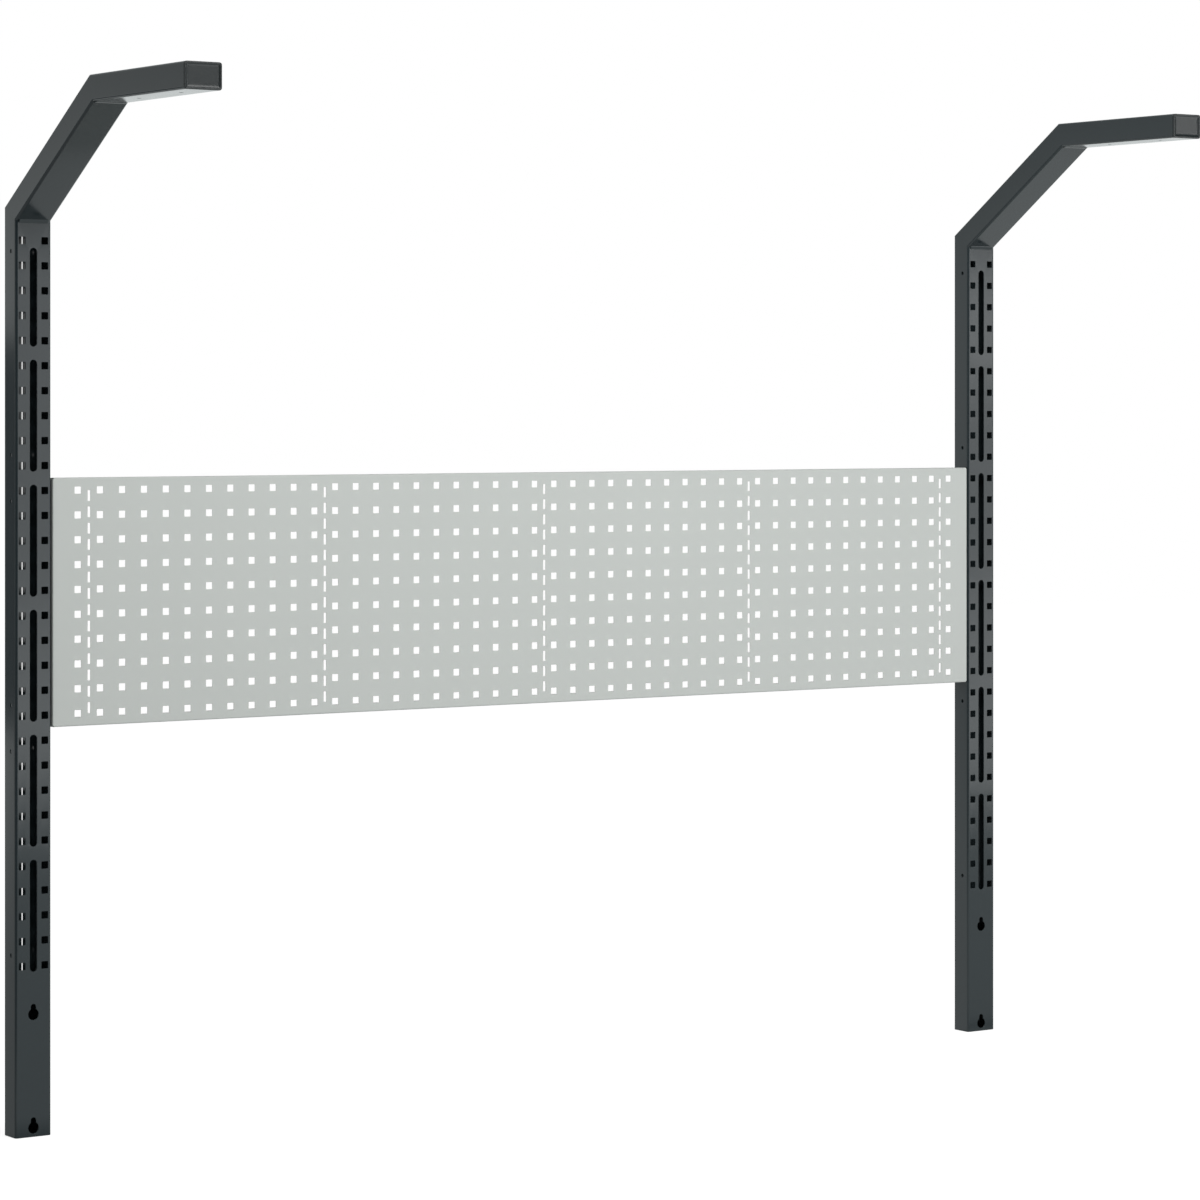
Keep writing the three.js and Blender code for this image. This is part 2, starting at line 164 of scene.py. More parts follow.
class PanelSizes(bpy.types.PropertyGroup):
    rows: count("Rows", 10, "Rows of square holes in the panel")
    margin: length("Hole margin", 0.040, "Least distance from the panel's end to a column of holes")
    thickness: length("Sheet thickness", 0.001, "Thickness of the panel sheet")
    bend: length("Bend radius", 0.002, "Outer radius of the panel's folds")
    lip: length("Lip", 0.012, "Width of the lips at the back of the long edges")
    slot_width: length("Slot width", 0.0044, "Width of the narrow slots")
    slot_length: length("Slot length", 0.0165, "Height of the narrow slots")
    slot_corner: length("Slot corner", 0.0008, "Corner radius of the narrow slots")
    slot_pitch: length("Slot pitch", 0.025, "Distance between two narrow slots")
    slots: count("Slots in a column", 14, "Narrow slots in one column")
    slot_step: count("Slot column step", 11, "Square columns between two slot columns")


class CapSizes(bpy.types.PropertyGroup):
    rim_width: length("Rim width", 0.003, "Width of the raised rim round the dish")
    dish: length("Dish depth", 0.0016, "Depth of the dish in the cap's face")
    dish_wall: length("Dish wall", 0.0045, "How far the hollow wall of the dish reaches in from the rim")
    edge: length("Edge radius", 0.0008, "Rounding of the cap's outer edge")
    groove: length("Groove", 0.0009, "Slope of the flange's back edge, which leaves a groove at the tube")
    skirt: length("Skirt length", 0.014, "How far the cap reaches into the arm")
    skirt_wall: length("Skirt wall", 0.002, "Thickness of the skirt")
    clearance: length("Skirt clearance", 0.0003, "Room between skirt and tube")


class PlugSizes(bpy.types.PropertyGroup):
    rim_width: length("Rim width", 0.003, "Width of the rim round the dish underneath")
    dish: length("Dish depth", 0.0008, "Depth of the dish underneath")
    edge: length("Edge radius", 0.0005, "Rounding of the plug's edges")


class WeldSizes(bpy.types.PropertyGroup):
    leg: length("Leg", 0.0036, "How far the bead reaches along each face")
    crown: length("Crown", 0.0006, "How far the bead swells past a straight line between its edges")
    ripple: length("Ripple pitch", 0.0021, "Distance between two ripples of the bead")
    ripple_share: share("Ripple share", 0.07, "Depth of a ripple as a share of the bead")
    end_share: share("End share", 0.5, "Size of the bead at its very ends as a share of the bead")


class FixingSizes(bpy.types.PropertyGroup):
    head: length("Head radius", 0.005, "Radius of the screw heads")
    head_height: length("Head height", 0.0034, "Height of the screw heads")
    socket: length("Socket radius", 0.002, "Distance of the hex socket's corners from the middle")
    socket_depth: length("Socket depth", 0.002, "Depth of the hex socket")
    shank: length("Shank radius", 0.003, "Radius of the thread's crests")
    thread_depth: length("Thread depth", 0.00035, "Depth of the thread")
    thread_pitch: length("Thread pitch", 0.001, "Distance between two crests of the thread")
    past_wall: length("Tip past the wall", 0.006, "How far the tip stands inside the upright")
    hole: length("Hole radius", 0.00355, "Radius of the holes in washers, spacers and panel ends")
    washer: length("Washer radius", 0.0062, "Outer radius of the washers")
    washer_thickness: length("Washer thickness", 0.0012, "Thickness of the washers")
    spacer: length("Spacer radius", 0.006, "Outer radius of the spacer rings")
    air: length("Air", 0.0003, "Air between a fixing and its seat")


class Finishes(bpy.types.PropertyGroup):
    paint: colour("Upright paint", (0.024, 0.034, 0.038), "Powder coat of uprights and arms")
    panel: colour("Panel paint", (0.56, 0.59, 0.565), "Powder coat of the panel")
    plastic: colour("Cap plastic", (0.014, 0.019, 0.020), "Moulded plastic of the end caps")
    zinc: colour("Zinc", (0.60, 0.61, 0.63), "Plating of the fixings")


class StageSizes(bpy.types.PropertyGroup):
    lens: FloatProperty(name="Lens", description="Focal length of the camera", default=121.7, unit="CAMERA")
    sight: FloatVectorProperty(
        name="Camera place", description="Where the camera stands", default=(-3.683, -5.334, 1.1133),
        size=3, subtype="TRANSLATION",
    )
    turn: angle("Camera turn", 34.2, "Turn of the camera from the front view")
    shift: FloatProperty(
        name="Shift", description="Lowering of the view that keeps upright lines upright", default=-0.1631,
    )
    floor: colour("Floor", (0.56, 0.57, 0.575), "Colour of the floor as the object sees it")
    sheen: colour("Sheen", (0.95, 1.0, 1.0), "Colour of the backdrop and the floor in reflections")
    extent: length("Floor extent", 12.0, "Half the length of the floor's sides")
    ambient: share("Ambient", 0.4, "Strength of the even light")
    key: power("Key lamp", 45, "Power of the high lamp")
    soft: power("Soft box", 36, "Power of the wide, low lamp in front")
    right: power("Right box", 7, "Power of the lamp that the right cap shows")
    low: power("Low box", 1.3, "Power of the lamp that the right upright shows")
    left: power("Left box", 0.6, "Power of the lamp that the left upright shows")


class Superstructure(bpy.types.PropertyGroup):
    tube: PointerProperty(type=TubeSizes)
    holes: PointerProperty(type=HoleSizes)
    keyhole: PointerProperty(type=KeyholeSizes)
    panel: PointerProperty(type=PanelSizes)
    cap: PointerProperty(type=CapSizes)
    plug: PointerProperty(type=PlugSizes)
    weld: PointerProperty(type=WeldSizes)
    fixing: PointerProperty(type=FixingSizes)
    finish: PointerProperty(type=Finishes)
    stage: PointerProperty(type=StageSizes)


def settings():
    return bpy.context.scene.superstructure


# Places that follow from the loaded model


def box_of(node):
    low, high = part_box(node)
    return Vector(low), Vector(high)


UPRIGHT_LOW, UPRIGHT_HIGH = box_of("upright_right")
PANEL_LOW, PANEL_HIGH = box_of("perforated_panel")
ARM_LOW, ARM_HIGH = box_of("lamp_arm_right")
CAP_LOW, CAP_HIGH = box_of("end_cap_right")
PLUG_LOW, PLUG_HIGH = box_of("foot_plug_right")

TUBE_WIDTH = UPRIGHT_HIGH.x - UPRIGHT_LOW.x
TUBE_DEPTH = UPRIGHT_HIGH.y - UPRIGHT_LOW.y
UPRIGHT_X = (UPRIGHT_LOW.x + UPRIGHT_HIGH.x) / 2
FRONT_Y = UPRIGHT_LOW.y
ARM_END_Y = ARM_LOW.y


# Drawing


class Pen:
    """Draws one closed outline in X and Y, out of straight stretches, sharp turns and bends."""

    def __init__(self, bm, x, y, heading=0.0):
        self.bm = bm
        self.drawn_before = set(bm.edges)
        self.first = bmesh.ops.create_vert(bm, co=(x, y, 0))["vert"][0]
        self.tip = self.first
        self.heading = heading

    def ahead(self, distance):
        if distance > SAME_PLACE:
            self.tip = bmesh.ops.extrude_vert_indiv(self.bm, verts=[self.tip])["verts"][0]
            step = Vector((cos(self.heading), sin(self.heading), 0)) * distance
            bmesh.ops.translate(self.bm, verts=[self.tip], vec=step)

    def turn(self, angle):
        self.heading += angle

    def bend(self, radius, angle, steps):
        to_centre = Vector((-sin(self.heading), cos(self.heading), 0)) * copysign(radius, angle)
        swept = bmesh.ops.spin(
            self.bm, geom=[self.tip], cent=self.tip.co + to_centre, axis=Z_AXIS, angle=angle, steps=steps,
        )
        self.tip = verts_in(swept["geom_last"])[0]
        self.heading += angle

    def close(self):
        bmesh.ops.weld_verts(self.bm, targetmap={self.tip: self.first})
        return [edge for edge in self.bm.edges if edge not in self.drawn_before]


def move_all(bm, matrix):
    bmesh.ops.transform(bm, matrix=matrix, verts=bm.verts)


def slide(x=0.0, y=0.0, z=0.0):
    return Matrix.Translation((x, y, z))


def verts_in(items):
    return [item for item in items if isinstance(item, bmesh.types.BMVert)]


def edges_in(items):
    return [item for item in items if isinstance(item, bmesh.types.BMEdge)]


def whole(bm):
    return bm.verts[:] + bm.edges[:] + bm.faces[:]


def verts_of(edges):
    return list({vert for edge in edges for vert in edge.verts})


def rounded_outline(bm, width, height, radius, steps):
    """Draws a rounded rectangle round the origin, or a slot or circle if the radius is half its width."""
    pen = Pen(bm, radius - width / 2, -height / 2)
    for side in (width, height, width, height):
        pen.ahead(side - 2 * radius)
        pen.bend(radius, QUARTER, steps)
    return pen.close()


def folded_outline(bm, width, depth, radius, wall, gap, steps):
    """Draws the section of a tube that is folded from sheet and stays open by a gap in its back."""
    lip = (width - gap) / 2 - radius
    pen = Pen(bm, -gap / 2, depth, pi)
    for bend_radius, hand in ((radius, 1), (radius - wall, -1)):
        for stretch in (lip, depth - 2 * radius, width - 2 * radius, depth - 2 * radius):
            pen.ahead(stretch)
            pen.bend(bend_radius, hand * QUARTER, steps)
        pen.ahead(lip)
        pen.turn(QUARTER)
        pen.ahead(wall)
        pen.turn(QUARTER)
    return pen.close()


def keyhole_outline(bm, sizes, growth):
    """Draws a keyhole that stands on the origin, widened by growth all round."""
    head = sizes.head + growth
    neck = sizes.neck + growth
    neck_middle = sizes.height - sizes.neck
    straight = neck_middle - sizes.head - sqrt(head * head - neck * neck)
    pen = Pen(bm, neck, neck_middle, QUARTER)
    pen.bend(neck, pi, KEYHOLE_NECK_STEPS)
    pen.ahead(straight)
    pen.turn(-acos(neck / head))
    pen.bend(head, 2 * pi - 2 * asin(neck / head), KEYHOLE_HEAD_STEPS)
    pen.turn(-acos(neck / head))
    pen.ahead(straight)
    return pen.close()


def shift(bm, edges, x=0.0, y=0.0, z=0.0):
    bmesh.ops.translate(bm, verts=verts_of(edges), vec=(x, y, z))
    return edges


def bridge(bm, rings):
    """Joins each ring of edges to the next with a band of faces. A lift keeps flat rings apart meanwhile."""
    for ring, following in zip(rings, rings[1:]):
        shift(bm, following, z=BRIDGE_LIFT)
        bmesh.ops.bridge_loops(bm, edges=list(ring) + list(following))
        shift(bm, following, z=-BRIDGE_LIFT)


def close_ends(bm, *rings):
    for ring in rings:
        bmesh.ops.edgeloop_fill(bm, edges=ring)


def sweep(bm, edges, move):
    """Draws faces from the edges along a straight move, and returns the edges at the far end."""
    far = set(verts_in(bmesh.ops.extrude_edge_only(bm, edges=edges)["geom"]))
    bmesh.ops.translate(bm, verts=list(far), vec=move)
    return [edge for edge in bm.edges if edge.verts[0] in far and edge.verts[1] in far]


# Holes


def hole_wall(bm, outline, depth, rim):
    """Builds the wall of a hole below the plane Z = 0. outline(growth) draws its shape, grown by that much."""
    soft = rim * MID_BEND
    levels = ((rim, 0), (soft, soft), (0, rim), (0, depth - rim), (rim, depth))
    rings = [shift(bm, outline(growth), z=-down) for growth, down in levels]
    bridge(bm, rings)
    return everything_on([vert for ring in rings for vert in verts_of(ring)])


def everything_on(verts):
    edges = {edge for vert in verts for edge in vert.link_edges}
    faces = {face for vert in verts for face in vert.link_faces}
    return list(verts) + list(edges) + list(faces)


def repeat(bm, items, x, y, count):
    """Copies some geometry along a line until there are count of it, and returns all of it."""
    if count == 1:
        return items
    old = set(bm.verts)
    bmesh.ops.spin(bm, geom=items, axis=Z_AXIS, steps=count - 1, angle=0, use_duplicate=True, dvec=(x, y, 0))
    return items + everything_on([vert for vert in bm.verts if vert not in old])


def set_holes(bm, plane, outline, depth, rim, first, *repeats):
    """Sets hole walls in a flat wall, whose plane is given as a matrix.

    The first is at (x, y) in that plane, and each (x step, y step, count) repeats all that is there so far.
    """
    items = hole_wall(bm, outline, depth, rim)
    for x, y, count in repeats:
        items = repeat(bm, items, x, y, count)
    bmesh.ops.transform(bm, matrix=plane @ slide(*first), verts=verts_in(items))


def open_skin(bm, facing, offset):
    """Fills each flat face that looks along facing at that offset again, leaving out the holes set in it."""
    def in_plane(item):
        return all(abs(vert.co.dot(facing) - offset) < 10 * SAME_PLACE for vert in item.verts)

    rims = [edge for edge in bm.edges if edge.is_boundary and in_plane(edge)]
    skins = [face for face in bm.faces if face.normal.dot(facing) > SAME_FACING and in_plane(face)]
    for skin in skins:
        held = [edge for edge in rims if spans(skin, edge.verts[0].co)]
        if held:
            outline = list(skin.edges)
            bmesh.ops.delete(bm, geom=[skin], context="FACES_ONLY")
            filled = bmesh.ops.triangle_fill(bm, use_beauty=True, edges=outline + held)["geom"]
            if any(edge.is_boundary or edge.is_wire for edge in outline + held) or not filled:
                raise RuntimeError("a perforated wall could not be filled round its holes")


def spans(face, point):
    """Tells whether a point is within a face's extent along each axis."""
    return all(
        min(vert.co[axis] for vert in face.verts) - SAME_PLACE
        < point[axis]
        < max(vert.co[axis] for vert in face.verts) + SAME_PLACE
        for axis in range(3)
    )


def pierce(bm, facing, offset, depth):
    """Opens both skins of a flat wall round the holes that were set in it."""
    bm.normal_update()
    open_skin(bm, facing, offset)
    open_skin(bm, -facing, depth - offset)


def round_rims(bm, rim, is_rim):
    """Rounds every square edge that passes the test."""
    bm.normal_update()
    edges = [edge for edge in bm.edges if edge.calc_face_angle(0) > RIM_ANGLE and is_rim(edge)]
    bmesh.ops.bevel(
        bm, geom=edges, offset=rim, offset_type="OFFSET", segments=RIM_STEPS, profile=0.5, affect="EDGES",
        material=-1,
    )


# Tubes


def tube_blank(tube, low, high, gap=0.0):
    """Stands a length of tube on X and Y, its front wall in the plane Y = 0. A gap leaves its back open."""
    bm = bmesh.new()
    steps = TUBE_BEND_STEPS
    if gap:
        ring = folded_outline(bm, TUBE_WIDTH, TUBE_DEPTH, tube.bend, tube.wall, gap, steps)
    else:
        ring = rounded_outline(bm, TUBE_WIDTH, TUBE_DEPTH, tube.bend, steps)
        ring += rounded_outline(
            bm, TUBE_WIDTH - 2 * tube.wall, TUBE_DEPTH - 2 * tube.wall, tube.bend - tube.wall, steps,
        )
        shift(bm, ring, y=TUBE_DEPTH / 2)
    shift(bm, ring, z=low)
    far_ring = sweep(bm, ring, Z_AXIS * (high - low))
    for end in (ring, far_ring):
        bmesh.ops.triangle_fill(bm, use_beauty=True, edges=end)
    bmesh.ops.recalc_face_normals(bm, faces=bm.faces)
    round_rims(bm, tube.rim, lambda edge: True)
    return bm


class Elbow:
    """A mitre in the side view, from the inside of the bend to the outside."""

    def __init__(self, inner, angle, rise_along):
        self.inner = Vector((0, *inner))
        lead = TUBE_DEPTH * tan(angle / 2)
        self.outer = self.inner + Vector((0, *rise_along(lead)))
        across = self.outer - self.inner
        self.normal = Vector((0, -across.z, across.y)).normalized()

    def cut(self, bm, keep_before):
        """Cuts a tube along the mitre, and keeps what comes before it on the way from the foot, or after."""
        cut = bmesh.ops.bisect_plane(
            bm, geom=whole(bm), dist=SAME_PLACE,
            plane_co=self.inner, plane_no=self.normal, clear_outer=keep_before, clear_inner=not keep_before,
        )
        bmesh.ops.triangle_fill(bm, use_beauty=True, edges=edges_in(cut["geom_cut"]))


def elbows(tube):
    arm_underside = tube.front_height + tube.slope_run / tan(tube.tilt)
    lower = Elbow((FRONT_Y, tube.front_height), tube.tilt, lambda lead: (TUBE_DEPTH, lead))
    upper = Elbow(
        (FRONT_Y - tube.slope_run, arm_underside), QUARTER - tube.tilt, lambda lead: (lead, TUBE_DEPTH),
    )
    return lower, upper


def group_height(holes):
    """Height of the rows that share one long slot."""
    return holes.rows / holes.slots * holes.pitch


def hole_outline(bm, width, height, corner, steps):
    return lambda growth: rounded_outline(
        bm, width + 2 * growth, height + 2 * growth, corner + growth, steps,
    )


def square_outline(bm, holes):
    return hole_outline(bm, holes.square, holes.square, holes.square_corner, CORNER_STEPS)


def round_outline(bm, radius, steps):
    return hole_outline(bm, 2 * radius, 2 * radius, radius, steps)


def upright_front_holes(bm, sizes):
    holes, keyhole, tube = sizes.holes, sizes.keyhole, sizes.tube
    wall = (tube.wall, tube.rim)
    set_holes(
        bm, FACE_FRONT, lambda growth: keyhole_outline(bm, keyhole, growth), *wall,
        (0, keyhole.lowest), (0, keyhole.spacing, 2),
    )
    group = group_height(holes)
    slot = group - holes.slot_bridge
    width = holes.slot_width
    top_slot_middle = holes.top_row + holes.pitch / 2 - group / 2
    set_holes(
        bm, FACE_FRONT, hole_outline(bm, width, slot - holes.slot_shortfall, width / 2, SLOT_STEPS), *wall,
        (0, top_slot_middle - holes.slot_shortfall / 2),
    )
    set_holes(
        bm, FACE_FRONT, hole_outline(bm, width, slot, width / 2, SLOT_STEPS), *wall,
        (0, top_slot_middle - group), (0, -group, holes.slots - 1),
    )
    set_holes(
        bm, FACE_FRONT, square_outline(bm, holes), *wall,
        (-holes.pitch / 2, holes.top_row), (holes.pitch, 0, 2), (0, -holes.pitch, holes.rows),
    )


def upright_side_holes(bm, sizes, side):
    """Two holes for each of the places, one above the other, that a panel can take."""
    holes, tube = sizes.holes, sizes.tube
    turned = Matrix.Rotation(side * QUARTER, 4, "Z") @ FACE_FRONT
    plane = slide(side * TUBE_WIDTH / 2, holes.side_depth) @ turned
    panel_height = PANEL_HIGH.z - PANEL_LOW.z
    top = holes.top_row + holes.pitch / 2
    set_holes(
        bm, plane, round_outline(bm, holes.side, SIDE_HOLE_STEPS), tube.wall, tube.rim,
        (0, top - holes.side_margin),
        (0, 2 * holes.side_margin - panel_height, 2), (0, -panel_height, int(top / panel_height)),
    )


def upright_mesh(sizes):
    """One upright, standing on the origin with its front face in the plane Y = FRONT_Y."""
    tube, holes = sizes.tube, sizes.holes
    bm = tube_blank(tube, 0, tube.front_height + TUBE_DEPTH, tube.back_gap)
    move_all(bm, slide(y=FRONT_Y))
    elbows(tube)[0].cut(bm, keep_before=True)
    move_all(bm, slide(y=-FRONT_Y))
    for group in range(1, holes.slots + 1):
        border = holes.top_row + holes.pitch / 2 - group * group_height(holes)
        bmesh.ops.bisect_plane(
            bm, geom=whole(bm), dist=SAME_PLACE,
            plane_co=Z_AXIS * border, plane_no=Z_AXIS,
        )
    upright_front_holes(bm, sizes)
    pierce(bm, -Y_AXIS, 0, tube.wall)
    for side in (-1, 1):
        upright_side_holes(bm, sizes, side)
        pierce(bm, X_AXIS * side, TUBE_WIDTH / 2, tube.wall)
    move_all(bm, slide(y=FRONT_Y))
    return bm


def slope_mesh(sizes):
    tube = sizes.tube
    lower, upper = elbows(tube)
    slope_length = tube.slope_run / sin(tube.tilt)
    bm = tube_blank(tube, -TUBE_WIDTH, slope_length + TUBE_WIDTH)
    move_all(bm, Matrix.Translation(lower.inner) @ Matrix.Rotation(tube.tilt, 4, "X"))
    lower.cut(bm, keep_before=False)
    upper.cut(bm, keep_before=True)
    return bm


def arm_mesh(sizes):
    """One arm. It is made upright, its foot at the arm's end, and its front wall becomes the underside."""
    tube, holes = sizes.tube, sizes.holes
    upper = elbows(tube)[1]
    bm = tube_blank(tube, -(upper.inner.y - ARM_END_Y) - TUBE_WIDTH, 0)
    lay_down = slide(0, ARM_END_Y, upper.inner.z) @ FACE_FRONT
    move_all(bm, lay_down)
    upper.cut(bm, keep_before=False)
    move_all(bm, lay_down.inverted())
    set_holes(
        bm, FACE_FRONT, round_outline(bm, holes.lamp, ROUND_HOLE_STEPS), tube.wall, tube.rim,
        (0, -holes.lamp_first), (0, -holes.lamp_spacing, 2),
    )
    pierce(bm, -Y_AXIS, 0, tube.wall)
    move_all(bm, lay_down)
    return bm


# End caps and foot plugs


def stacked_sections(levels, width, depth, bend, steps):
    """Skins and closes a stack of rounded rectangles, each drawn in by its inset and set at its height."""
    bm = bmesh.new()
    rings = []
    for inset, height in levels:
        radius = max(bend - inset, bend / 4)
        ring = rounded_outline(bm, width - 2 * inset, depth - 2 * inset, radius, steps)
        rings.append(shift(bm, ring, z=height))
    bridge(bm, rings)
    close_ends(bm, rings[0], rings[-1])
    return bm


def cap_mesh(sizes):
    """One cap: a dished flange with a hollow skirt. Its face looks to +Z, and the tube's end is at Z = 0."""
    cap, tube = sizes.cap, sizes.tube
    flange = ARM_END_Y - CAP_LOW.y
    fillet = cap.edge / 2
    soft = cap.edge * MID_BEND
    skirt = tube.wall + cap.clearance
    hollow = skirt + cap.skirt_wall
    turns = [QUARTER * step / DISH_STEPS for step in range(DISH_STEPS, -1, -1)]
    dish = [
        (cap.rim_width + cap.dish_wall * (1 - cos(turn)), flange - soft - (cap.dish - soft) * sin(turn))
        for turn in turns
    ]
    levels = (
        *dish,
        (cap.rim_width - fillet, flange),
        (cap.edge, flange),
        (soft, flange - soft),
        (0, flange - cap.edge),
        (0, cap.groove),
        (cap.groove, 0),
        (skirt, 0),
        (skirt, fillet - cap.skirt),
        (skirt + fillet, -cap.skirt),
        (hollow, -cap.skirt),
        (hollow, -cap.skirt_wall),
    )
    bm = stacked_sections(levels, TUBE_WIDTH, TUBE_DEPTH, tube.bend, CAP_STEPS)
    move_all(bm, slide(0, ARM_END_Y, elbows(tube)[1].inner.z + TUBE_DEPTH / 2) @ FACE_FRONT)
    return bm


def plug_mesh(sizes):
    """One foot plug. Its dished face looks down, in the plane Z = 0."""
    plug, tube = sizes.plug, sizes.tube
    width, depth, height = PLUG_HIGH - PLUG_LOW
    soft = plug.edge * MID_BEND
    levels = (
        (plug.rim_width + plug.dish, plug.dish),
        (plug.rim_width, 0),
        (plug.edge, 0),
        (soft, soft),
        (0, plug.edge),
        (0, height - plug.edge),
        (soft, height - soft),
        (plug.edge, height),
    )
    bm = stacked_sections(levels, width, depth, tube.bend - tube.wall, PLUG_STEPS)
    move_all(bm, slide(y=(PLUG_LOW.y + PLUG_HIGH.y) / 2))
    return bm


# Welds


def weld_mesh(sizes, elbow, first_face, opening):
    """A rippled bead along the inside of an elbow, between two faces that stand open by the given angle."""
    weld = sizes.weld
    half_chord = weld.leg * sin(opening / 2)
    crown_radius = (half_chord ** 2 + weld.crown ** 2) / (2 * weld.crown)
    half_arc = asin(half_chord / crown_radius)
    corner_turn = (pi + opening) / 2 - half_arc
    bm = bmesh.new()
    pen = Pen(bm, 0, 0, first_face)
    pen.ahead(weld.leg)
    pen.turn(corner_turn)
    pen.bend(crown_radius, 2 * half_arc, CROWN_STEPS)
    pen.turn(corner_turn)
    pen.ahead(weld.leg)
    ring = pen.close()
    bead_length = TUBE_WIDTH - 2 * sizes.tube.bend
    steps = round(bead_length / weld.ripple) * RIPPLE_STEPS
    shift(bm, ring, z=-bead_length / 2)
    first = ring
    size = 1.0
    for step in range(1, steps + 1):
        ring = sweep(bm, ring, Z_AXIS * (bead_length / steps))
        ripple = (step % RIPPLE_STEPS) / RIPPLE_STEPS
        taper = min(1, weld.end_share + min(step, steps - step) / RIPPLE_STEPS / 2)
        wanted = taper * (1 - weld.ripple_share * ripple)
        bmesh.ops.scale(bm, vec=(wanted / size, wanted / size, 1), verts=verts_of(ring))
        size = wanted
    close_ends(bm, first, ring)
    along_x = Matrix(((0, 0, 1, 0), (1, 0, 0, 0), (0, 1, 0, 0), (0, 0, 0, 1)))
    move_all(bm, Matrix.Translation(elbow.inner) @ along_x)
    return bm


# Panel


def fold(bm, edge, axis, radius):
    """Bends sheet on from an edge by a quarter turn towards the back, and returns the new edge."""
    middle = (edge.verts[0].co + edge.verts[1].co) / 2
    swept = bmesh.ops.spin(
        bm, geom=[edge, *edge.verts], cent=middle + radius, axis=axis, angle=QUARTER, steps=SHEET_BEND_STEPS,
    )
    return edges_in(swept["geom_last"])[0]


def panel_tray(panel, width, height, depth):
    """The folded sheet before it is perforated: a face in the plane Z = 0, with its flanges towards -Z."""
    bm = bmesh.new()
    flat = Matrix.Diagonal((width - 2 * panel.bend, height - 2 * panel.bend, 1, 1))
    bmesh.ops.create_grid(bm, x_segments=1, y_segments=1, size=0.5, matrix=flat)
    down = -Z_AXIS
    for edge in bm.edges[:]:
        outward = (edge.verts[0].co + edge.verts[1].co).normalized()
        axis = outward.cross(down)
        edge = fold(bm, edge, axis, down * panel.bend)
        long_edge = abs(outward.y) > abs(outward.x)
        straight = depth - panel.bend * (2 if long_edge else 1)
        edge = sweep(bm, [edge], down * straight)[0]
        if long_edge:
            edge = fold(bm, edge, axis, -outward * panel.bend)
            sweep(bm, [edge], -outward * (panel.lip - panel.bend))
    bmesh.ops.remove_doubles(bm, verts=bm.verts, dist=SAME_PLACE)
    bmesh.ops.recalc_face_normals(bm, faces=bm.faces)
    if max(bm.faces, key=lambda face: face.calc_area()).normal.z < 0:
        bmesh.ops.reverse_faces(bm, faces=bm.faces)
    bmesh.ops.solidify(bm, geom=bm.faces[:], thickness=panel.thickness)
    return bm


def panel_front_holes(bm, sizes, width, rim):
    panel, holes = sizes.panel, sizes.holes
    room = width / 2 - panel.margin
    wall = (panel.thickness, rim)
    step = panel.slot_step * holes.pitch
    steps_each = int(room / step)
    first_slot = (-steps_each * step, (1 - panel.slots) / 2 * panel.slot_pitch)
    set_holes(
        bm, Matrix(), hole_outline(bm, panel.slot_width, panel.slot_length, panel.slot_corner, CORNER_STEPS),
        *wall, first_slot, (0, panel.slot_pitch, panel.slots), (step, 0, 2 * steps_each + 1),
    )
    columns_each = int(room / holes.pitch + 1 / 2)
    first_square = ((1 / 2 - columns_each) * holes.pitch, (1 - panel.rows) / 2 * holes.pitch)
    set_holes(
        bm, Matrix(), square_outline(bm, holes), *wall,
        first_square, (holes.pitch, 0, 2 * columns_each), (0, holes.pitch, panel.rows),
    )


def panel_mesh(sizes):
    panel, holes, fixing = sizes.panel, sizes.holes, sizes.fixing
    width, depth, height = PANEL_HIGH - PANEL_LOW
    rim = sizes.tube.rim
    bm = panel_tray(panel, width, height, depth)
    round_rims(bm, rim, lambda edge: edge.is_convex)
    fixing_span = height - 2 * holes.side_margin
    for side in (-1, 1):
        plane = slide(side * width / 2, 0, -holes.side_depth) @ Matrix.Rotation(side * QUARTER, 4, "Y")
        set_holes(
            bm, plane, round_outline(bm, fixing.hole, ROUND_HOLE_STEPS), panel.thickness, rim,
            (0, -fixing_span / 2), (0, fixing_span, 2),
        )
        pierce(bm, X_AXIS * side, width / 2, panel.thickness)
    panel_front_holes(bm, sizes, width, rim)
    pierce(bm, Z_AXIS, 0, panel.thickness)
    middle = (PANEL_LOW + PANEL_HIGH) / 2
    move_all(bm, slide(middle.x, PANEL_LOW.y, middle.z) @ FACE_FRONT)
    return bm


# Panel fixings, made along +Z from the upright's inner face towards the middle of the panel


def stacked_circles(bm, levels):
    rings = [
        shift(bm, rounded_outline(bm, 2 * radius, 2 * radius, radius, FIXING_STEPS), z=z)
        for radius, z in levels
    ]
    bridge(bm, rings)
    return rings


def ring_mesh(inner, outer, low, high, rim):
    """A flat ring with softened edges, for a washer or a spacer."""
    bm = bmesh.new()
    levels = (
        (inner, low), (outer - rim, low), (outer, low + rim), (outer, high - rim),
        (outer - rim, high), (inner + rim, high), (inner, high - rim),
    )
    rings = stacked_circles(bm, levels)
    bridge(bm, [rings[-1], rings[0]])
    return bm


